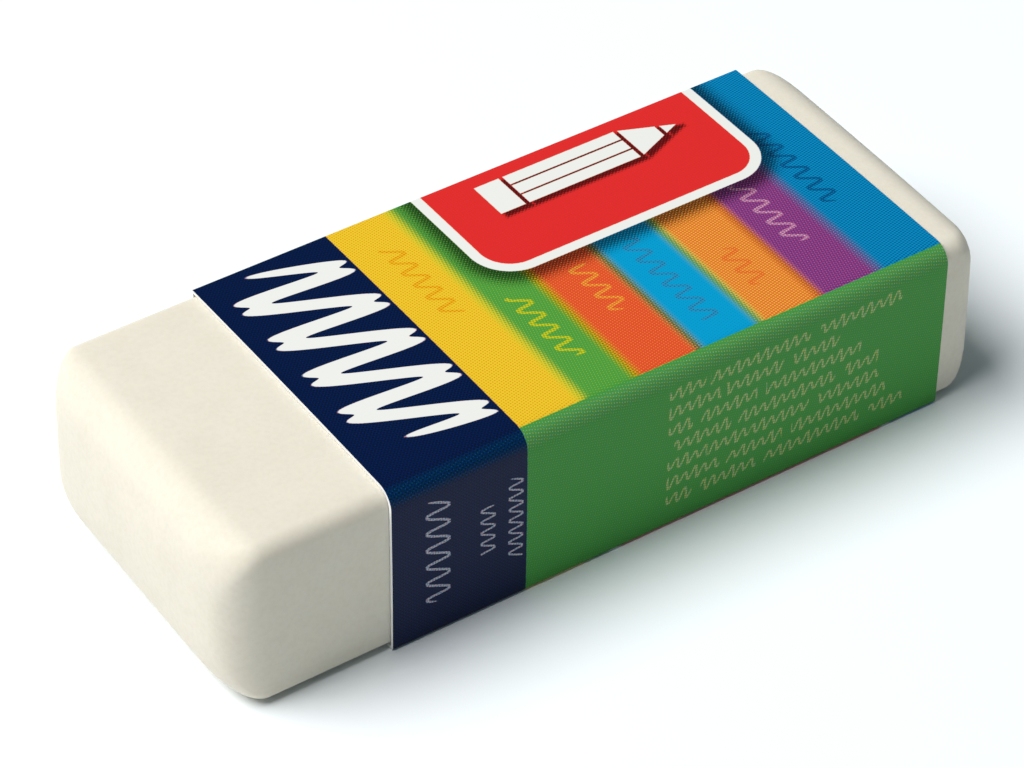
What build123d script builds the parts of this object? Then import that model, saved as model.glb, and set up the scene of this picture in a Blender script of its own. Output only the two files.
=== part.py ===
"""Pencil eraser: a soft white block in a folded and glued card sleeve.

Millimetres, +Z up. X runs along the block, with the long bare end at -X, and Y across it.
The origin is below the middle of the block, on the surface that the sleeve lies on.
"""

from build123d import *
from math import cos, radians, sin
import os

# Block, before use
BLOCK_LENGTH = 62.3
BLOCK_WIDTH = 24.1
BLOCK_HEIGHT = 13.0
TOP_FALL = 0.2  # how far the broad faces bow away towards their round edge
SIDE_FALL = 0.1  # the same for the narrow sides
SAG = 0.2  # how much lower the edge at -Y lies, where no glue flap is under the block
ROUND_EDGE = 1.2  # the two long edges that lie in the sleeve's soft folds
TIGHT_EDGE = 0.45  # the two long edges that the sleeve's sharp folds press into shape

# Round ends of the block
END_ROUND = 2.9  # radius that its sides, top and bottom turn in with
END_TURN = 84.0  # degrees that they turn before the end face begins
END_CORNER = 2.8  # corner radius that the section has grown to by then
END_DOME = 0.4  # how far the middle of the end face stands out from its edge
NEAR_END_SKEW = -0.6  # degrees that each end is out of square, seen from above
FAR_END_SKEW = -1.2
NEAR_END_LEAN = 1.0  # degrees that each end's upper edge stands back from square
FAR_END_LEAN = 2.2

# Card sleeve
CARD = 0.25
SLIDE_GAP = 0.04  # between the block and the card, each side
SLEEVE_LENGTH = 45.3
NEAR_END_BARE = 12.5  # length of block that shows beyond the sleeve at -X
SOFT_FOLD = 1.35  # outside radius of a fold that was only scored
SHARP_FOLD = 0.28  # outside radius of a fold that was pressed flat when the sleeve was glued
GLUE_FLAP = 8.0  # width of the flap under the block, measured from the far side
SEAM_BACK = 1.5  # how far the glued panel's free edge stays back from the far side

# Sizes that follow from these
half_length = BLOCK_LENGTH / 2
half_width = BLOCK_WIDTH / 2
half_height = BLOCK_HEIGHT / 2
sleeve_width = BLOCK_WIDTH + 2 * SLIDE_GAP + 2 * CARD
sleeve_height = BLOCK_HEIGHT + 2 * SLIDE_GAP + 3 * CARD  # two cards below, one above
block_middle = 2 * CARD + SLIDE_GAP + half_height
sleeve_start = -half_length + NEAR_END_BARE
round_start = half_length - END_DOME - END_ROUND * sin(radians(END_TURN))

ROUND_STEPS = 3  # steps between the sections through the turn at each end
DOME_STEPS = (1.0, 0.7, 0.4, 0.1)  # sections over the end face, as shares of its size


def across(x, turn=0.0, lean=0.0):
    """A plane across the block at x, turned about the vertical and leant back by some degrees."""
    angle = radians(turn)
    tilt = radians(lean)
    return Plane(
        origin=(x, 0, block_middle),
        x_dir=(-sin(angle), cos(angle), 0),
        z_dir=(cos(angle) * cos(tilt), sin(angle) * cos(tilt), sin(tilt)),
    )


def bowed_section(width, height, tight, soft, bow=1.0):
    """A rectangle with two opposite tight corners, whose sides bow away to the soft corners."""
    y = width - bow * SIDE_FALL
    z = height - bow * TOP_FALL
    low = height + bow * SAG
    sides = [
        Line((-width, -low), (y, -z)),
        ThreePointArc((y, -z), (width, 0), (width, height)),
        ThreePointArc((width, height), (0, height), (-y, z)),
        ThreePointArc((-y, z), (-width, 0), (-width, -low)),
    ]
    section = make_face(sides)
    for corners, radius in ((((-width, -low), (width, height)), tight), (((-y, z), (y, -z)), soft)):
        picked = [section.vertices().sort_by_distance(corner)[0] for corner in corners]
        section = fillet(picked, radius)
    return section


def block_end(side, skew, lean):
    """The end of the block at -X (side -1) or +X (side 1): its round turn and its domed face."""
    turn = []
    for step in range(ROUND_STEPS + 1):
        share = step / ROUND_STEPS
        angle = radians(END_TURN * share)
        x = round_start + END_ROUND * sin(angle)
        inset = END_ROUND * (1 - cos(angle))
        grown = sin(angle) ** 2
        tight = TIGHT_EDGE + (END_CORNER - TIGHT_EDGE) * grown
        soft = ROUND_EDGE + (END_CORNER - ROUND_EDGE) * grown
        outline = bowed_section(half_width - inset, half_height - inset, tight, soft)
        turn.append(across(side * x, skew * share, lean * share) * outline)
    face = []
    for share in DOME_STEPS:
        x = half_length - END_DOME * share**2
        outline = bowed_section(
            (half_width - inset) * share, (half_height - inset) * share, tight * share, soft * share, share
        )
        face.append(across(side * x, skew, lean) * outline)
    return loft(turn) + loft(face)


def eraser_block():
    """The block: a bowed bar with a round end lofted on to each end."""
    bar = across(-round_start) * bowed_section(half_width, half_height, TIGHT_EDGE, ROUND_EDGE)
    body = extrude(bar, amount=2 * round_start)
    near_end = block_end(-1, NEAR_END_SKEW, -NEAR_END_LEAN)
    far_end = block_end(1, FAR_END_SKEW, FAR_END_LEAN)
    return body + near_end + far_end


def fold(path, corner, outside_radius):
    """Round the card's path at the vertex nearest to a corner point."""
    vertex = path.vertices().sort_by_distance(corner)[0]
    return fillet(vertex, outside_radius - CARD / 2)


def card_sleeve():
    """One strip of card wrapped round the block: flap, far side, top, near side, bottom.

    The flap lies on the bottom panel, where the two are glued. The middle line of the card
    is drawn first, then folded, thickened and drawn out along the block.
    """
    side = sleeve_width / 2 - CARD / 2
    soft_side = side - SIDE_FALL
    top = sleeve_height - CARD / 2
    soft_top = top - TOP_FALL
    panel = CARD / 2
    flap = panel + CARD
    middle = sleeve_height / 2

    flap_edge = (soft_side - GLUE_FLAP, flap)
    far_bottom = (soft_side, flap)
    far_top = (side, top)
    near_top = (-soft_side, soft_top)
    near_bottom = (-side, panel)
    seam_edge = (soft_side - SEAM_BACK, panel)

    path = Wire(
        [
            Line(flap_edge, far_bottom),
            ThreePointArc(far_bottom, (side, middle), far_top),
            ThreePointArc(far_top, (0, top), near_top),
            ThreePointArc(near_top, (-side, middle), near_bottom),
            Line(near_bottom, seam_edge),
        ]
    )
    path = fold(path, far_bottom, SOFT_FOLD)
    path = fold(path, far_top, SHARP_FOLD)
    path = fold(path, near_top, SOFT_FOLD)
    path = fold(path, near_bottom, SHARP_FOLD)
    *wrap, glued_panel = path.edges()
    wall = trace(wrap, CARD) + trace(glued_panel, CARD)
    return extrude(Plane.YZ.offset(sleeve_start) * wall, amount=SLEEVE_LENGTH)


nodes = {
    "eraser_block": eraser_block(),
    "card_sleeve": card_sleeve(),
}

os.makedirs("parts", exist_ok=True)
for name, shape in nodes.items():
    solid = shape.solid()
    solid.label = name
    export_step(solid, f"parts/{name}.step")
    print(name, "volume", round(solid.volume, 1), "mm3, valid", solid.is_valid)
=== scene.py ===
"""Looks of a pencil eraser: a soft white vinyl block in a printed card sleeve.

Metres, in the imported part's own frame: +X along the block away from its long bare end, +Z up.
"""

from math import cos, pi, radians, sin, tan

import bmesh
import bpy
from bpy.props import FloatProperty, FloatVectorProperty, IntProperty, PointerProperty
from mathutils import Matrix, Vector


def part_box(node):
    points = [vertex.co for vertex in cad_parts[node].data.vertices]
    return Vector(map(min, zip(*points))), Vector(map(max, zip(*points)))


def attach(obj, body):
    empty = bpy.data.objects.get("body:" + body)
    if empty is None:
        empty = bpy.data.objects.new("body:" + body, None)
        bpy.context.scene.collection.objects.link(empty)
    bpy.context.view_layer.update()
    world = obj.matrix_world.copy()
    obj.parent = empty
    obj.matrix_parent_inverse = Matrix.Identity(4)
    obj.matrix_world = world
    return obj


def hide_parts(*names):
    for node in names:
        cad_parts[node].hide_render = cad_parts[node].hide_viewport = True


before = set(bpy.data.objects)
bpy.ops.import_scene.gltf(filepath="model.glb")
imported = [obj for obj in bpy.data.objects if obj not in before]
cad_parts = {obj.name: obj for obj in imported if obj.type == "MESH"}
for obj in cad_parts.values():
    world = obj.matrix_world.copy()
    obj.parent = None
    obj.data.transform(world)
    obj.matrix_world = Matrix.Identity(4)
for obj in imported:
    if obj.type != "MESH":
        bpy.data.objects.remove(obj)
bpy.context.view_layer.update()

bl_info = {
    "name": "Sleeved Eraser",
    "version": (1, 0, 0),
    "blender": (4, 5, 0),
    "location": "3D View > Sidebar > Eraser",
    "description": "Builds a vinyl eraser, its printed card sleeve and a small studio",
    "category": "Object",
}

MM = 0.001
BLOCK_LOW, BLOCK_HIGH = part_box("eraser_block")
SLEEVE_LOW, SLEEVE_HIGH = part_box("card_sleeve")
SLEEVE_LENGTH = SLEEVE_HIGH.x - SLEEVE_LOW.x

# How finely the pieces are divided
CORNER_STEPS = 8  # round each corner of the block's section
SIDE_STEPS = (14, 8, 14, 8)  # across its top, down its near side, and so on round it
TURN_STEPS = 10  # through the turn at each end of the block
DOME_SIZES = (0.06, 0.2, 0.36, 0.52, 0.68, 0.84)  # sections over its end faces, as shares of their size
FOLD_STEPS = 10  # round each fold of the card
PANEL_STEP = 0.6 * MM  # between points on the card's panels


def length(name, description, default):
    """A length that a user may change, given here in millimetres."""
    return FloatProperty(
        name=name, description=description, default=default * MM, subtype="DISTANCE", unit="LENGTH"
    )


def place(name, description, default):
    """A place that a user may change, given here in millimetres."""
    metres = tuple(part * MM for part in default)
    return FloatVectorProperty(
        name=name, description=description, default=metres, size=3, subtype="TRANSLATION", unit="LENGTH"
    )


def angle(name, description, default):
    """An angle that a user may change, given here in degrees."""
    return FloatProperty(
        name=name, description=description, default=radians(default), subtype="ANGLE", unit="ROTATION"
    )


def colour(name, description, default):
    """A colour that a user may change."""
    return FloatVectorProperty(
        name=name, description=description, default=default, size=3, subtype="COLOR", min=0.0, max=1.0
    )


def inks(name, default):
    """How much cyan, magenta, yellow and black ink a printed field carries."""
    words = "Shares of cyan, magenta, yellow and black ink"
    return FloatVectorProperty(name=name, description=words, default=default, size=4, min=0.0, max=1.0)


class BlockSettings(bpy.types.PropertyGroup):
    """The moulded vinyl block."""

    round_edge: length("Round Edge", "Radius of the two long edges in the sleeve's soft folds", 1.2)
    tight_edge: length("Tight Edge", "Radius of the two long edges in its sharp folds", 0.5)
    end_round: length("End Round", "Radius that the block turns in with at each end", 2.9)
    end_turn: angle("End Turn", "How far it turns in before the domed end face begins", 84)
    end_corner: length("End Corner", "Corner radius that the section has grown to at the end faces", 2.8)
    end_dome: length("End Dome", "How far the end faces swell at their middle", 0.4)
    top_fall: length("Top Fall", "How far the broad faces bow away towards their round edge", 0.2)
    side_fall: length("Side Fall", "How far the narrow sides bow away towards theirs", 0.1)
    sag: length("Sag", "How much lower the bottom edge lies where no glue flap is under it", 0.2)
    near_skew: angle("Near End Skew", "How far the long bare end is out of square, seen from above", -0.6)
    far_skew: angle("Far End Skew", "How far the short bare end is out of square, seen from above", -1.2)
    near_lean: angle("Near End Lean", "How far the long bare end leans back", 1.0)
    far_lean: angle("Far End Lean", "How far the short bare end leans back", 2.2)
    steps: IntProperty(name="Steps", description="Divisions along the block", default=40, min=1)
    vinyl: colour("Vinyl", "Colour of the clean vinyl", (0.78, 0.72, 0.61))
    handled: colour("Handled Vinyl", "Colour where it has picked up a little dust", (0.73, 0.67, 0.56))


class SleeveSettings(bpy.types.PropertyGroup):
    """The folded and glued card sleeve."""

    card: length("Card", "Thickness of the card", 0.25)
    soft_fold: length("Soft Fold", "Outside radius of a fold that was only scored", 1.35)
    sharp_fold: length("Sharp Fold", "Outside radius of a fold that was pressed flat", 0.28)
    top_fall: length("Top Fall", "How far the top panel bows away towards its soft fold", 0.2)
    side_fall: length("Side Fall", "How far the side panels bow away towards theirs", 0.1)
    glue_flap: length("Glue Flap", "Width of the flap under the block", 8.0)
    seam_back: length("Seam Setback", "How far the glued panel's edge stays back from the far side", 1.5)
    steps: IntProperty(name="Steps", description="Divisions along the sleeve", default=48, min=1)
    paper: colour("Card Stock", "Colour of the bare card", (0.80, 0.79, 0.75))
    cut: colour("Cut Card", "Colour of the card's cut edges", (0.95, 0.95, 0.93))


class PrintSettings(bpy.types.PropertyGroup):
    """What is printed on the sleeve.

    Places along it run from its near end, and places round it from the middle of its top.
    """

    repeat: length("Repeat", "Distance round the sleeve after which the print starts again", 37.4)
    split: length("Split", "Where one print ends, just past the far edge of the top", 12.5)
    band_end: length("Band End", "Where the dark band ends along the sleeve", 10.53)
    stripes_end: length("Stripes End", "Where the stripes end, just short of the near fold", -11.22)
    # The paler ink on the soft fold is a painted highlight for the light that the fold catches
    fold_middle: length("Fold Middle", "Middle of the soft fold, where the ink is paler", -12.0)
    first_row: length("First Row", "Where the fine rows begin on the near side", -12.79)
    row_pitch: length("Row Pitch", "Distance from one fine row to the next", 1.54)
    screen: length("Screen", "Distance from dot to dot in the printed screens", 0.205)
    label_middle: length("Label Middle", "Middle of the label along the sleeve", 29.35)
    label_start: length("Label Start", "Where the label begins round the sleeve", 1.6)
    label_half: length("Label Half", "Half the length of the label along the sleeve", 11.9)
    label_corner: length("Label Corner", "Corner radius of the label", 3.2)
    label_edge: length("Label Edge", "Width of the label's white edge", 0.8)
    band: inks("Band", (1.0, 0.96, 0.50, 0.45))
    # Paler inks on the soft fold: a painted highlight for the light that the fold catches
    band_fold_highlight: inks("Band on the Fold", (1.0, 0.86, 0.42, 0.36))
    side: inks("Side", (0.88, 0.00, 0.88, 0.0))
    side_fold_highlight: inks("Side on the Fold", (0.81, 0.00, 0.81, 0.0))
    label: inks("Label", (0.0, 0.97, 0.84, 0.0))
    row: inks("Row", (0.52, 0.00, 0.70, 0.0))
    side_mark: inks("Side Mark", (0.25, 0.06, 0.0, 0.0))


class StageSettings(bpy.types.PropertyGroup):
    """Camera, floor and lights."""

    azimuth: angle("Azimuth", "Direction that the camera looks in, from +Y towards +X", 34.83)
    elevation: angle("Elevation", "How steeply the camera looks down", 40.54)
    roll: angle("Roll", "How far the camera is rolled", 0.92)
    aim: place("Aim", "Point that the camera looks at", (-1.654, -1.074, 7.0))
    distance: length("Distance", "From the camera to the point that it looks at", 289.7)
    focal_length: FloatProperty(
        name="Focal Length", description="Focal length of the lens, in millimetres", default=150.15
    )
    floor: colour("Floor", "Colour of the floor", (0.92, 0.95, 0.97))
    floor_half: length("Floor Half", "Half the width of the floor", 1500)
    floor_drop: length("Floor Drop", "How far the floor lies below the sleeve, to tell the two apart", 0.02)
    key_place: place("Key Place", "Middle of the main light, which faces the origin", (-750, 340, 1300))
    key_size: length("Key Size", "Diameter of the main light", 1200)
    key_power: FloatProperty(
        name="Key Power", description="Power of the main light", default=32.0, unit="POWER"
    )
    fill: FloatProperty(name="Fill", description="Brightness of the light from all round", default=0.12)
    sky: colour("Fill Colour", "Colour of the light from all round", (0.70, 0.95, 1.0))


def settings(name):
    """The property group that the scene holds under a name."""
    return getattr(bpy.context.scene, name)


def opaque(shade):
    """A colour with an alpha of 1."""
    return (*shade[:3], 1.0)


def piece(name, bm, materials):
    """Turn a bmesh into a smooth-shaded object with its materials."""
    for face in bm.faces:
        face.smooth = True
    mesh = bpy.data.meshes.new(name)
    bm.to_mesh(mesh)
    bm.free()
    for material in materials:
        mesh.materials.append(material)
    made = bpy.data.objects.new(name, mesh)
    bpy.context.scene.collection.objects.link(made)
    return made


class Graph:
    """Adds nodes to a node tree. Every input is a number, a tuple or another node's output."""

    def __init__(self, tree):
        self.tree = tree

    def join(self, socket, value):
        """Link another node's output to a socket, or set its own number or colour."""
        if isinstance(value, bpy.types.NodeSocket):
            self.tree.links.new(value, socket)
        else:
            socket.default_value = value

    def node(self, kind, *values, **named):
        """A node with its first inputs in order, and others or its own settings by name."""
        node = self.tree.nodes.new(kind)
        for key, value in list(named.items()):
            if hasattr(node, key):
                setattr(node, key, value)
                named.pop(key)
        for socket, value in zip(node.inputs, values):
            self.join(socket, value)
        for key, value in named.items():
            self.join(node.inputs[key.replace("_", " ")], value)
        return node

    def group(self, tree, *values):
        """A node group with its inputs in order."""
        return self.node("ShaderNodeGroup", *values, node_tree=tree).outputs

    def math(self, operation, *values, clamp=False):
        return self.node("ShaderNodeMath", *values, operation=operation, use_clamp=clamp).outputs[0]

    def rise(self, value, start, end, low=0.0, high=1.0):
        """A number that goes smoothly from low to high as value goes from start to end."""
        node = self.node("ShaderNodeMapRange", value, start, end, low, high, interpolation_type="SMOOTHSTEP")
        return node.outputs[0]

    def wave(self, along, spacing, shift):
        """A sine wave along a place, shifted by some radians."""
        return self.math("SINE", self.math("MULTIPLY_ADD", along, 2 * pi / spacing, shift))

    def hypotenuse(self, a, b):
        """The longest side of a right triangle, from its other two."""
        return self.math("SQRT", self.math("ADD", self.math("MULTIPLY", a, a), self.math("MULTIPLY", b, b)))

    def blend(self, factor, first, second, mode="MIX"):
        """One colour turned into another by a factor, or mixed with it in another mode."""
        node = self.node("ShaderNodeMix", data_type="RGBA", blend_type=mode)
        for socket, value in zip((node.inputs[0], node.inputs[6], node.inputs[7]), (factor, first, second)):
            self.join(socket, value)
        return node.outputs[2]

    def ramp(self, value, stops, interpolation="LINEAR"):
        """A colour ramp with a colour at each stop. Puts out the colour and its alpha."""
        node = self.node("ShaderNodeValToRGB", value)
        node.color_ramp.interpolation = interpolation
        elements = node.color_ramp.elements
        while len(elements) < len(stops):
            elements.new(0.5)
        for element, (position, shade) in zip(elements, stops):
            element.position = position
            element.color = shade
        return node.outputs


def new_group(name, inputs, outputs):
    """An empty shader node group. Returns it, its graph, its inputs and its output node.

    Its sockets hold numbers, apart from Place and Normal, which hold vectors.
    """
    tree = bpy.data.node_groups.new(name, "ShaderNodeTree")
    for names, side in ((inputs, "INPUT"), (outputs, "OUTPUT")):
        for socket in names:
            kind = "NodeSocketVector" if socket in ("Place", "Normal") else "NodeSocketFloat"
            tree.interface.new_socket(socket, in_out=side, socket_type=kind)
    graph = Graph(tree)
    return tree, graph, graph.node("NodeGroupInput").outputs[:-1], graph.node("NodeGroupOutput")


def new_material(name):
    """An empty material, its graph and its Principled shader."""
    material = bpy.data.materials.new(name)
    material.use_nodes = True
    tree = material.node_tree
    return material, Graph(tree), tree.nodes["Principled BSDF"]


def grain_group():
    """Fine grain in card and vinyl, and the relief that it gives. Built once for all of them."""
    name = "fine_grain"
    if name in bpy.data.node_groups:
        return bpy.data.node_groups[name]
    tree, g, (where, scale, detail, strength, depth), out = new_group(
        name, ("Place", "Scale", "Detail", "Strength", "Depth"), ("Grain", "Normal")
    )
    grain = g.node("ShaderNodeTexNoise", Vector=where, Scale=scale, Detail=detail).outputs[0]
    relief = g.node("ShaderNodeBump", Height=grain, Strength=strength, Distance=depth).outputs[0]
    g.join(out.inputs[0], grain)
    g.join(out.inputs[1], relief)
    return tree


def screen_group():
    """One ink's screen of dots: 1 where there is ink. Cover is the share of the paper that it covers."""
    blur, spare, contrast = 0.15, 0.12, 0.5  # with spare, no cover prints nothing and full cover prints all
    tree, g, (x, y, cover, turn, pitch), out = new_group(
        "ink_screen", ("Along", "Round", "Cover", "Turn", "Pitch"), ("Ink",)
    )
    scale = g.math("DIVIDE", 2 * pi, pitch)
    c = g.math("MULTIPLY", g.math("COSINE", turn), scale)
    s = g.math("MULTIPLY", g.math("SINE", turn), scale)
    first = g.math("COSINE", g.math("ADD", g.math("MULTIPLY", x, c), g.math("MULTIPLY", y, s)))
    second = g.math("COSINE", g.math("SUBTRACT", g.math("MULTIPLY", y, c), g.math("MULTIPLY", x, s)))
    height = g.math("MULTIPLY_ADD", g.math("ADD", first, second), 0.25, 0.5)
    edge = g.math("SUBTRACT", 1 + spare, g.math("MULTIPLY", cover, 1 + 2 * spare))
    dot = g.rise(g.math("SUBTRACT", height, edge), -blur, blur)
    g.join(out.inputs[0], g.math("MULTIPLY_ADD", g.math("SUBTRACT", dot, cover), contrast, cover))
    return tree


def stroke_group():
    """A wavy pen stroke that runs round the sleeve: 1 on the stroke, 0 off it."""
    blur = 0.03 * MM
    tree, g, (x, y, middle, start, end, swing, wave, pen, slant), out = new_group(
        "pen_stroke", ("Along", "Round", "Middle", "Start", "End", "Swing", "Wave", "Pen", "Slant"), ("Ink",)
    )
    across = g.math("SUBTRACT", x, middle)
    run = g.math("ADD", y, g.math("MULTIPLY", across, slant))
    per_turn = g.math("DIVIDE", 2 * pi, wave)
    phase = g.math("MULTIPLY", run, per_turn)
    away = g.math("SUBTRACT", across, g.math("MULTIPLY", swing, g.math("SINE", phase)))
    steep = g.math("MULTIPLY", g.math("MULTIPLY", swing, g.math("COSINE", phase)), per_turn)
    off = g.math("DIVIDE", g.math("ABSOLUTE", away), g.hypotenuse(steep, 1.0))
    past = g.math("MAXIMUM", g.math("SUBTRACT", start, run), g.math("SUBTRACT", run, end))
    far = g.hypotenuse(off, g.math("MAXIMUM", past, 0.0))
    edge = g.math("MULTIPLY", pen, 0.5)
    g.join(out.inputs[0], g.rise(g.math("SUBTRACT", far, edge), blur, -blur))
    return tree


def field_group():
    """Distance from the outline of a field with round corners, below 0 inside it."""
    tree, g, (x, y, mx, my, hx, hy, corner), out = new_group(
        "round_field",
        ("Along", "Round", "Middle Along", "Middle Round", "Half Along", "Half Round", "Corner"),
        ("Distance",),
    )
    dx = g.math("SUBTRACT", g.math("ABSOLUTE", g.math("SUBTRACT", x, mx)), g.math("SUBTRACT", hx, corner))
    dy = g.math("SUBTRACT", g.math("ABSOLUTE", g.math("SUBTRACT", y, my)), g.math("SUBTRACT", hy, corner))
    outside = g.hypotenuse(g.math("MAXIMUM", dx, 0.0), g.math("MAXIMUM", dy, 0.0))
    inside = g.math("MINIMUM", g.math("MAXIMUM", dx, dy), 0.0)
    g.join(out.inputs[0], g.math("SUBTRACT", g.math("ADD", outside, inside), corner))
    return tree


def pencil_group():
    """Distance from the outline of a small pencil that lies along the sleeve, below 0 inside it."""
    lead, wood, rubber, ridge = 0.75, 2.4, 1.3, 0.36  # where its parts meet, as shares of half its width
    gap, scratch = 0.16 * MM, 0.08 * MM  # half widths of the lines between its parts and along its ridges
    tree, g, (x, y, mx, my, reach, half), out = new_group(
        "pencil_field",
        ("Along", "Round", "Middle Along", "Middle Round", "Half Length", "Half Width"),
        ("Distance",),
    )
    dx = g.math("SUBTRACT", x, mx)
    dy = g.math("ABSOLUTE", g.math("SUBTRACT", y, my))
    left = g.math("SUBTRACT", reach, dx)
    cone = g.math("MULTIPLY", half, wood)
    taper = g.math("DIVIDE", left, cone, clamp=True)
    field = g.math("SUBTRACT", dy, g.math("MULTIPLY", half, taper))
    field = g.math("MAXIMUM", field, g.math("SUBTRACT", g.math("ABSOLUTE", dx), reach))
    for part in (lead, wood):
        away = g.math("ABSOLUTE", g.math("SUBTRACT", left, g.math("MULTIPLY", half, part)))
        field = g.math("MAXIMUM", field, g.math("SUBTRACT", gap, away))
    tail = g.math("SUBTRACT", g.math("ADD", dx, reach), g.math("MULTIPLY", half, rubber))
    field = g.math("MAXIMUM", field, g.math("SUBTRACT", gap, g.math("ABSOLUTE", tail)))
    facet = g.math("ABSOLUTE", g.math("SUBTRACT", dy, g.math("MULTIPLY", half, ridge)))
    line = g.math("MINIMUM", g.math("SUBTRACT", scratch, facet), g.math("SUBTRACT", left, cone))
    g.join(out.inputs[0], g.math("MAXIMUM", field, g.math("MINIMUM", line, tail)))
    return tree


# Print. Sizes and places in it are in millimetres, along the sleeve and round it
BARE = (0.0, 0.0, 0.0, 0.0)  # no ink
CRISP = 0.04  # half the width of a printed edge
BLEND = 0.6  # half the width that a stripe takes to turn into the next
STRIPES = (  # where each begins along the sleeve, its inks, and the inks where it meets the next
    (10.53, (0.00, 0.31, 0.96, 0.0), (0.40, 0.12, 0.95, 0.0)),
    (15.55, (0.84, 0.00, 0.90, 0.0), (0.45, 0.45, 1.00, 0.1)),
    (19.85, (0.00, 0.82, 0.87, 0.0), (0.70, 0.55, 0.80, 0.1)),
    (24.95, (1.00, 0.17, 0.00, 0.0), (0.75, 0.15, 0.80, 0.1)),
    (29.95, (0.00, 0.60, 0.88, 0.0), (0.30, 0.70, 0.90, 0.1)),
    (34.95, (0.64, 0.89, 0.02, 0.0), (0.80, 0.70, 0.00, 0.0)),
    (39.95, (1.00, 0.47, 0.00, 0.0), None),
)
STROKES = (  # on each stripe: middle along, start and end round it, and the inks
    (13.35, 0.6, 8.5, (0.05, 0.50, 1.0, 0.0)),
    (17.65, -7.3, -0.4, (0.40, 0.04, 1.0, 0.0)),
    (22.95, -5.1, 0.1, (0.00, 0.55, 0.9, 0.0)),
    (27.45, -9.1, 0.6, (0.95, 0.45, 0.1, 0.1)),
    (32.45, -8.0, -3.9, (0.00, 0.72, 0.9, 0.0)),
    (37.35, -5.8, 1.2, (0.38, 0.60, 0.05, 0.0)),
    (41.95, -3.6, 5.4, (1.00, 0.68, 0.1, 0.25)),
)
STROKE_SHAPE = (0.62, 1.5, 0.3, 0.25)  # their swing, wave, pen and slant
STROKE_INK = 0.8  # how much of their inks they carry
SCRIBBLE = (5.85, -8.0, 10.2, 2.9, 4.3, 1.5, 0.25)  # on the band: places as above, then its shape
SIDE_MARKS = (  # on the band's side, in the same way
    (3.55, -22.3, -13.7, 0.85, 1.45, 0.22, 0.2),
    (7.45, -20.1, -16.1, 0.50, 0.95, 0.17, 0.2),
    (9.65, -21.5, -14.7, 0.50, 0.95, 0.17, 0.2),
)
SIDE_MARK_INK = 0.66
LABEL_DEPTH = 16.0  # half its size round the sleeve, which takes it on past the split
LABEL_SHADOW = (0.3, 2.0, 0.75)  # how far it is moved to the near side, how far it fades, and its black
PENCIL = (29.9, 9.3, 8.0, 1.7)  # on the label: its middle along and round, half its length and width
PENCIL_SHADOW = (0.3, -0.4)  # how far it is moved along and round the sleeve
PENCIL_FADE = (0.45, -0.1, 0.8)  # how far outside its outline it ends, and where it has its full black
FOLD_HIGHLIGHT_FADE = (0.9, 0.3)  # where the soft fold's ink starts to turn pale and is palest, from its middle: a painted highlight
ROW_START = 21.95  # of the fine rows on the near side
ROW_ENDS = (41.4, 36.0, 38.0, 39.6, 39.8, 40.5, 42.1)
ROW_SPAN = 50.0  # a length past all the ends, which are looked up as shares of it
ROW_SHAPE = (0.8, 0.2, -0.25)  # wave, pen and slant
ROW_SWING = (0.36, 0.09, 2.1666)  # swing, how much it varies, and over what length
ROW_INK = 0.85
LONG_BREAKS = (4.7, 3.1, 3.3)  # waves that break the rows: spacing, shift from row to row, first shift
SHORT_BREAKS = (2.9, 4.6, 0.7)  # shorter waves: spacing, shift from row to row, and height
BREAK_BELOW = -1.25  # a row breaks where both together are lower than this
BREAK_BLUR = 0.05
SCREEN_TURNS = (radians(74), radians(15), 0.0, radians(45))  # cyan, magenta, yellow, black
INK_COLOURS = (  # what each ink lets through, in linear light
    (0.0, 0.43, 0.82),
    (0.88, 0.02, 0.24),
    (0.99, 0.80, 0.01),
    (0.03, 0.03, 0.035),
)


class Press(Graph):
    """Prints fields of ink over each other: x runs along the sleeve, and y round it in one repeat."""

    def __init__(self, tree, p):
        super().__init__(tree)
        uv = self.node("ShaderNodeSeparateXYZ", self.node("ShaderNodeUVMap", uv_map="print").outputs[0])
        self.x, self.whole_round = uv.outputs[0], uv.outputs[1]
        self.y = self.math("WRAP", self.whole_round, p.split, p.split - p.repeat)
        self.pen = stroke_group()
        self.colour, self.black = self.stripes()

    def stripes(self):
        """The stripes along the whole sleeve: their colour inks, and their black."""
        stops = []
        for (start, own, meeting), after in zip(STRIPES, STRIPES[1:] + (None,)):
            stops.append((start + BLEND, own))
            if after:
                stops += [(after[0] - BLEND, own), (after[0], meeting)]
        share = self.math("DIVIDE", self.x, SLEEVE_LENGTH)
        return self.ramp(share, [(x * MM / SLEEVE_LENGTH, shares) for x, shares in stops])

    def lay(self, amount, shares):
        """Print a field of inks over what is there, by an amount."""
        self.colour = self.blend(amount, self.colour, opaque(shares))
        change = self.math("SUBTRACT", shares[3], self.black)
        self.black = self.math("MULTIPLY_ADD", change, amount, self.black)

    def shade(self, amount):
        """Print at least this much black."""
        self.black = self.math("MAXIMUM", self.black, amount)

    def below(self, value, limit):
        """1 where a value is below a limit, with a crisp edge."""
        return self.rise(value, limit + CRISP * MM, limit - CRISP * MM)

    def stroke(self, *sizes):
        """A pen stroke from its sizes in millimetres, and its slant."""
        lengths = [size * MM for size in sizes[:-1]]
        return self.group(self.pen, self.x, self.y, *lengths, sizes[-1])[0]


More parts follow.
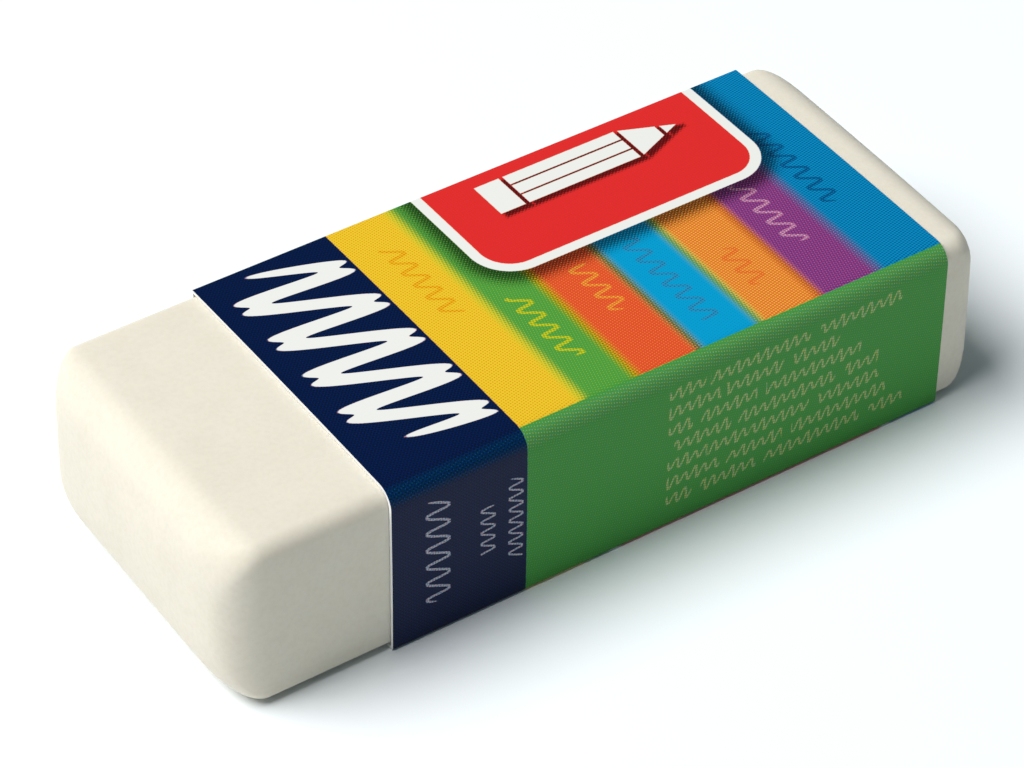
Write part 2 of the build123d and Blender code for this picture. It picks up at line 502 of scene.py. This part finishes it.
def print_label(g, p):
    """A label on the far side of the top, with a white edge and a soft shadow, and a pencil on it."""
    field, pencil = field_group(), pencil_group()
    depth = LABEL_DEPTH * MM
    shape = (p.label_half, depth, p.label_corner)
    middle_round = p.label_start + depth
    moved, fade, black = LABEL_SHADOW
    shadow = g.group(field, g.x, g.y, p.label_middle, middle_round - moved * MM, *shape)[0]
    g.shade(g.rise(shadow, fade * MM, 0.0, 0.0, black))
    outline = g.group(field, g.x, g.y, p.label_middle, middle_round, *shape)[0]
    g.lay(g.below(outline, 0.0), BARE)
    g.lay(g.below(outline, -p.label_edge), p.label)

    sizes = [size * MM for size in PENCIL]
    along, around = (shift * MM for shift in PENCIL_SHADOW)
    outer, inner, black = PENCIL_FADE
    under = g.group(pencil, g.math("SUBTRACT", g.x, along), g.math("SUBTRACT", g.y, around), *sizes)[0]
    g.shade(g.rise(under, outer * MM, inner * MM, 0.0, black))
    g.lay(g.below(g.group(pencil, g.x, g.y, *sizes)[0], 0.0), BARE)


def print_rows(g, p):
    """Rows of fine strokes on the plain side, each broken up in its own way."""
    rows = len(ROW_ENDS)
    down = g.math("DIVIDE", g.math("SUBTRACT", p.first_row, g.y), p.row_pitch)
    row = g.math("FLOOR", down)
    off = g.math("MULTIPLY", g.math("SUBTRACT", g.math("FRACT", down), 0.5), -p.row_pitch)
    stops = [(index / rows, opaque((end / ROW_SPAN,) * 3)) for index, end in enumerate(ROW_ENDS)]
    ends = g.ramp(g.math("DIVIDE", g.math("ADD", row, 0.5), rows), stops, "CONSTANT")
    row_end = g.math("MULTIPLY", ends[0], ROW_SPAN * MM)

    spacing, each, first = LONG_BREAKS
    phase = g.math("MULTIPLY_ADD", row, each, first)
    long = g.wave(g.x, spacing * MM, phase)
    spacing, each, share = SHORT_BREAKS
    short = g.wave(g.x, spacing * MM, g.math("MULTIPLY", row, each))
    both = g.math("MULTIPLY_ADD", short, share, long)
    unbroken = g.rise(both, BREAK_BELOW - BREAK_BLUR, BREAK_BELOW + BREAK_BLUR)

    swing, vary, spacing = (size * MM for size in ROW_SWING)
    wave, pen, slant = ROW_SHAPE
    tall = g.math("MULTIPLY_ADD", g.wave(g.x, spacing, phase), vary, swing)
    ink = g.group(g.pen, off, g.x, 0.0, ROW_START * MM, row_end, tall, wave * MM, pen * MM, slant)[0]
    within = g.math("MULTIPLY", g.math("GREATER_THAN", down, 0.0), g.math("LESS_THAN", down, float(rows)))
    ink = g.math("MULTIPLY", g.math("MULTIPLY", ink, unbroken), within)
    g.lay(g.math("MULTIPLY", ink, ROW_INK), p.row)


def print_material():
    """Four inks in fine screens on coated card: a dark band, stripes, a label and pen strokes, with paler
    ink on the soft fold as a painted highlight.
    """
    p = settings("eraser_print")
    material, _, shader = new_material("printed_card")
    g = Press(material.node_tree, p)
    for middle, start, end, shares in STROKES:
        g.lay(g.math("MULTIPLY", g.stroke(middle, start, end, *STROKE_SHAPE), STROKE_INK), shares)
    print_label(g, p)

    # A painted highlight: the ink on the soft fold turns paler, standing in for the light that the fold
    # catches
    pale, palest = (away * MM for away in FOLD_HIGHLIGHT_FADE)
    painted_fold_highlight = g.rise(g.math("ABSOLUTE", g.math("SUBTRACT", g.y, p.fold_middle)), pale, palest)
    on_side = g.below(g.y, p.stripes_end)
    g.lay(on_side, p.side)
    g.lay(g.math("MULTIPLY", on_side, painted_fold_highlight), p.side_fold_highlight)
    print_rows(g, p)

    on_band = g.below(g.x, p.band_end)
    g.lay(on_band, p.band)
    # The band's painted highlight on the soft fold
    g.lay(g.math("MULTIPLY", on_band, painted_fold_highlight), p.band_fold_highlight)
    for mark in SIDE_MARKS:
        g.lay(g.math("MULTIPLY", g.stroke(*mark), SIDE_MARK_INK), p.side_mark)
    g.lay(g.stroke(*SCRIBBLE), BARE)

    screen = screen_group()
    shown = opaque(settings("eraser_sleeve").paper)
    covers = (*g.node("ShaderNodeSeparateColor", g.colour).outputs[:3], g.black)
    for cover, turn, through in zip(covers, SCREEN_TURNS, INK_COLOURS):
        ink = g.group(screen, g.x, g.whole_round, cover, turn, p.screen)[0]
        film = g.blend(ink, opaque((1.0, 1.0, 1.0)), opaque(through))
        shown = g.blend(1.0, shown, film, "MULTIPLY")
    g.join(shader.inputs["Base Color"], shown)
    shader.inputs["Roughness"].default_value = 0.42
    shader.inputs["Specular IOR Level"].default_value = 0.12
    return material


# Fine grain: its scale and detail, and the strength and depth of its relief
CARD_GRAIN = (4000.0, 3.0, 0.2, 0.02 * MM)
VINYL_GRAIN = (2600.0, 2.0, 0.15, 0.03 * MM)


def card_material(name, pale):
    """Bare card of a colour, with fibre in it that is a little darker."""
    material, g, shader = new_material(name)
    where = g.node("ShaderNodeTexCoord").outputs["Object"]
    fibre, relief = g.group(grain_group(), where, *CARD_GRAIN)
    darker = opaque([0.9 * part for part in pale])
    g.join(shader.inputs["Base Color"], g.blend(fibre, darker, opaque(pale)))
    g.join(shader.inputs["Normal"], relief)
    shader.inputs["Roughness"].default_value = 0.85
    return material


def vinyl_material():
    """Matte vinyl: faint mottling, a fine dusty grain and light that sinks in a little."""
    b = settings("eraser_block")
    material, g, shader = new_material("white_vinyl")
    where = g.node("ShaderNodeTexCoord").outputs["Object"]
    cloud = g.node("ShaderNodeTexNoise", Vector=where, Scale=260.0, Detail=4.0, Roughness=0.6).outputs[0]
    grain, relief = g.group(grain_group(), where, *VINYL_GRAIN)
    mottle = g.math("ADD", g.rise(cloud, 0.35, 0.75, 0.0, 0.5), g.rise(grain, 0.35, 0.75, 0.0, 0.5))
    g.join(shader.inputs["Base Color"], g.blend(mottle, opaque(b.vinyl), opaque(b.handled)))
    g.join(shader.inputs["Roughness"], g.rise(grain, 0.2, 0.8, 0.62, 0.8))
    g.join(shader.inputs["Normal"], relief)
    shader.inputs["Specular IOR Level"].default_value = 0.35
    shader.inputs["Subsurface Weight"].default_value = 0.35
    shader.inputs["Subsurface Radius"].default_value = (1.0, 0.8, 0.6)
    shader.inputs["Subsurface Scale"].default_value = 1.2 * MM
    return material


def bow(across, fall):
    """How far a bowed face lies back: nothing at its tight edge, 1, and its fall at its round edge, -1."""
    return fall * (across**2 - across) / 2


def bowed_section(half_y, half_z, tight, soft, b):
    """Points round a rectangle with two opposite tight corners, whose sides bow away to the soft ones."""
    turns = []
    for index, (left, up) in enumerate(((1, 1), (-1, 1), (-1, -1), (1, -1))):
        radius = tight if left * up > 0 else soft
        centre = Vector((left * (half_y - radius), up * (half_z - radius)))
        turned = [pi / 2 * (index + step / CORNER_STEPS) for step in range(CORNER_STEPS + 1)]
        turns.append([centre + radius * Vector((cos(angle), sin(angle))) for angle in turned])
    points = []
    for here, after, steps in zip(turns, turns[1:] + turns[:1], SIDE_STEPS):
        points += here
        points += [here[-1].lerp(after[0], step / steps) for step in range(1, steps)]
    bowed = []
    for y, z in points:
        across, up = y / half_y, z / half_z
        drop = bow(across, b.top_fall) if up > 0 else b.sag * across
        squeeze = bow(up if across > 0 else -up, b.side_fall)
        bowed.append((y - across * squeeze, z - up * drop))
    return bowed


def block_rings(b):
    """Rings of points round the block, from the middle of one end face to the middle of the other."""
    middle, half = (BLOCK_LOW + BLOCK_HIGH) / 2, (BLOCK_HIGH - BLOCK_LOW) / 2
    middle.z += b.sag / 2
    half.z -= b.sag / 2
    turn_start = half.x - b.end_dome - b.end_round * sin(b.end_turn)

    def ring(side, turned, size=1.0):
        """One section near an end, at a place in its turn or at a size on its domed face."""
        x = turn_start + b.end_round * sin(turned) + b.end_dome * (1 - size**2)
        inset = b.end_round * (1 - cos(turned))
        grown = sin(turned) ** 2
        tight = b.tight_edge + (b.end_corner - b.tight_edge) * grown
        soft = b.round_edge + (b.end_corner - b.round_edge) * grown
        skew = tan(b.far_skew if side > 0 else b.near_skew) * turned / b.end_turn
        lean = tan(b.far_lean if side > 0 else b.near_lean) * turned / b.end_turn
        points = []
        for y, z in bowed_section(half.y - inset, half.z - inset, tight, soft, b):
            y, z = y * size, z * size
            points.append(middle + Vector((side * x - skew * y - side * lean * z, y, z)))
        return points

    turns = [b.end_turn * step / TURN_STEPS for step in range(TURN_STEPS + 1)]
    near, far = ring(-1, 0.0), ring(1, 0.0)
    rings = [ring(-1, b.end_turn, size) for size in DOME_SIZES]
    rings += [ring(-1, turned) for turned in reversed(turns)]
    for step in range(1, b.steps):
        rings.append([a.lerp(c, step / b.steps) for a, c in zip(near, far)])
    rings += [ring(1, turned) for turned in turns]
    rings += [ring(1, b.end_turn, size) for size in reversed(DOME_SIZES)]
    return rings


def fit(bm, low, high):
    """Stretch a mesh by the little that it takes to fill a box exactly."""
    for axis in range(3):
        places = [vertex.co[axis] for vertex in bm.verts]
        start, span = min(places), max(places) - min(places)
        for vertex in bm.verts:
            vertex.co[axis] = low[axis] + (vertex.co[axis] - start) / span * (high[axis] - low[axis])


class ERASER_OT_block(bpy.types.Operator):
    """Make the vinyl block"""

    bl_idname = "eraser.block"
    bl_label = "Make Block"

    def execute(self, context):
        first, *others = block_rings(settings("eraser_block"))
        bm = bmesh.new()
        place_in_ring = bm.verts.layers.int.new("place")
        bmesh.ops.create_circle(bm, cap_ends=True, segments=len(first), radius=1.0)
        bm.verts.ensure_lookup_table()
        for index, (vertex, point) in enumerate(zip(bm.verts, first)):
            vertex[place_in_ring] = index
            vertex.co = point
        edges = bm.edges[:]
        for points in others:
            made = bmesh.ops.extrude_edge_only(bm, edges=edges)["geom"]
            edges = [item for item in made if isinstance(item, bmesh.types.BMEdge)]
            for vertex in (item for item in made if isinstance(item, bmesh.types.BMVert)):
                vertex.co = points[vertex[place_in_ring]]
        bmesh.ops.edgeloop_fill(bm, edges=edges)
        bmesh.ops.recalc_face_normals(bm, faces=bm.faces[:])
        fit(bm, BLOCK_LOW, BLOCK_HIGH)

        block = piece("vinyl_block", bm, [vinyl_material()])
        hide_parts("eraser_block")
        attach(block, "block")
        return {"FINISHED"}


def card_line(s):
    """Points along the middle of the card's thickness, from the flap's edge to the glued panel's edge."""
    side = SLEEVE_HIGH.y - s.card / 2 - s.side_fall / 8  # the bow stands out by an eighth of its fall
    top = SLEEVE_HIGH.z - s.card / 2 - s.top_fall / 8
    soft_side = side - s.side_fall
    soft_top = top - s.top_fall
    panel, flap = s.card / 2, 1.5 * s.card
    corners = (
        (soft_side - s.glue_flap, flap, None),
        (soft_side, flap, s.soft_fold),
        (side, top, s.sharp_fold),
        (-soft_side, soft_top, s.soft_fold),
        (-side, panel, s.sharp_fold),
        (soft_side - s.seam_back, panel, None),
    )
    points = [Vector((SLEEVE_LOW.x, y, z)) for y, z, _ in corners]
    folded = [points[0]]
    for before, point, after, (_, _, fold) in zip(points, points[1:], points[2:], corners[1:]):
        radius = fold - s.card / 2
        back, on = (before - point).normalized(), (after - point).normalized()
        centre = point + (back + on) * radius
        for step in range(FOLD_STEPS + 1):
            turned = pi / 2 * step / FOLD_STEPS
            folded.append(centre - on * radius * cos(turned) - back * radius * sin(turned))
    folded.append(points[-1])

    line = []
    for a, b in zip(folded, folded[1:]):
        count = max(1, round((b - a).length / PANEL_STEP))
        line += [a.lerp(b, step / count) for step in range(count)]
    line.append(folded[-1])
    for point in line:
        across, up = point.y / side, 2 * point.z / top - 1
        if point.z > soft_top - s.soft_fold and abs(across) < 1:
            point.z += s.top_fall / 2 * (1 - across**2)
        if abs(point.y) > soft_side - s.soft_fold and abs(up) < 1:
            point.y += (1 if point.y > 0 else -1) * s.side_fall / 2 * (1 - up**2)
    return line


class ERASER_OT_sleeve(bpy.types.Operator):
    """Make the printed card sleeve"""

    bl_idname = "eraser.sleeve"
    bl_label = "Make Sleeve"

    def execute(self, context):
        s = settings("eraser_sleeve")
        line = card_line(s)
        runs = [0.0]
        for a, b in zip(line, line[1:]):
            runs.append(runs[-1] + (b - a).length)
        _, top_middle = min((abs(at.y), run) for at, run in zip(line, runs) if at.z > SLEEVE_HIGH.z / 2)

        bm = bmesh.new()
        wrap = bm.verts.layers.float.new("wrap")
        for point, run in zip(line, runs):
            bm.verts.new(point)[wrap] = top_middle - run
        verts = bm.verts[:]
        for a, b in zip(verts, verts[1:]):
            bm.edges.new((a, b))
        edges = bm.edges[:]
        for _ in range(s.steps):
            made = bmesh.ops.extrude_edge_only(bm, edges=edges)["geom"]
            moved = [item for item in made if isinstance(item, bmesh.types.BMVert)]
            edges = [item for item in made if isinstance(item, bmesh.types.BMEdge)]
            bmesh.ops.translate(bm, verts=moved, vec=(SLEEVE_LENGTH / s.steps, 0.0, 0.0))
        uv = bm.loops.layers.uv.new("print")
        for face in bm.faces:
            for loop in face.loops:
                loop[uv].uv = (loop.vert.co.x - SLEEVE_LOW.x, loop.vert[wrap])
        for edge in bm.edges:
            edge.smooth = not edge.is_boundary
        bm.normal_update()
        top_face = max(bm.faces, key=lambda face: face.calc_center_median().z)
        if top_face.normal.z < 0:
            bmesh.ops.reverse_faces(bm, faces=bm.faces[:])

        materials = [print_material(), card_material("bare_card", s.paper), card_material("cut_card", s.cut)]
        sleeve = piece("printed_sleeve", bm, materials)
        wall = sleeve.modifiers.new("card", "SOLIDIFY")
        wall.thickness = s.card
        wall.offset = 0.0
        wall.use_even_offset = True
        wall.material_offset = 1
        wall.material_offset_rim = 2
        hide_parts("card_sleeve")
        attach(sleeve, "sleeve")
        return {"FINISHED"}


class ERASER_OT_stage(bpy.types.Operator):
    """Make the camera, floor and lights"""

    bl_idname = "eraser.stage"
    bl_label = "Make Stage"

    def execute(self, context):
        s = settings("eraser_stage")
        scene = context.scene
        level = cos(s.elevation)
        away = Vector((-sin(s.azimuth) * level, -cos(s.azimuth) * level, sin(s.elevation)))
        turned = away.to_track_quat("Z", "Y").to_matrix().to_4x4() @ Matrix.Rotation(s.roll, 4, "Z")
        camera = bpy.data.objects.new("camera", bpy.data.cameras.new("camera"))
        camera.matrix_world = Matrix.Translation(Vector(s.aim) + away * s.distance) @ turned
        camera.data.lens = s.focal_length
        camera.data.clip_start = 10 * MM
        scene.collection.objects.link(camera)
        scene.camera = camera

        bm = bmesh.new()
        bmesh.ops.create_grid(bm, x_segments=1, y_segments=1, size=s.floor_half)
        bmesh.ops.translate(bm, verts=bm.verts[:], vec=(0.0, 0.0, -s.floor_drop))
        material, _, shader = new_material("floor")
        shader.inputs["Base Color"].default_value = opaque(s.floor)
        shader.inputs["Roughness"].default_value = 0.9
        shader.inputs["Specular IOR Level"].default_value = 0.1
        floor = piece("floor", bm, [material])

        lamp = bpy.data.lights.new("key", "AREA")
        lamp.shape = "DISK"
        lamp.size = s.key_size
        lamp.energy = s.key_power
        key = bpy.data.objects.new("key", lamp)
        towards = Vector(s.key_place)
        key.matrix_world = Matrix.Translation(towards) @ towards.to_track_quat("Z", "Y").to_matrix().to_4x4()
        scene.collection.objects.link(key)

        world = bpy.data.worlds.new("studio")
        world.use_nodes = True
        sky = world.node_tree.nodes["Background"]
        sky.inputs["Color"].default_value = opaque(s.sky)
        sky.inputs["Strength"].default_value = s.fill
        scene.world = world
        scene.view_settings.view_transform = "Standard"
        return {"FINISHED"}


class ERASER_PT_panel(bpy.types.Panel):
    """Buttons that make the eraser's pieces"""

    bl_idname = "ERASER_PT_panel"
    bl_label = "Eraser"
    bl_space_type = "VIEW_3D"
    bl_region_type = "UI"
    bl_category = "Eraser"

    def draw(self, context):
        for operator in OPERATORS:
            self.layout.operator(operator.bl_idname)


OPERATORS = (ERASER_OT_stage, ERASER_OT_block, ERASER_OT_sleeve)
GROUPS = {
    "eraser_block": BlockSettings,
    "eraser_sleeve": SleeveSettings,
    "eraser_print": PrintSettings,
    "eraser_stage": StageSettings,
}


def register():
    for name, group in GROUPS.items():
        bpy.utils.register_class(group)
        setattr(bpy.types.Scene, name, PointerProperty(type=group))
    for cls in (*OPERATORS, ERASER_PT_panel):
        bpy.utils.register_class(cls)


def unregister():
    for cls in (ERASER_PT_panel, *reversed(OPERATORS)):
        bpy.utils.unregister_class(cls)
    for name, group in reversed(GROUPS.items()):
        delattr(bpy.types.Scene, name)
        bpy.utils.unregister_class(group)


def main():
    register()
    bpy.ops.eraser.stage()
    bpy.ops.eraser.block()
    bpy.ops.eraser.sleeve()


if __name__ == "__main__":
    main()
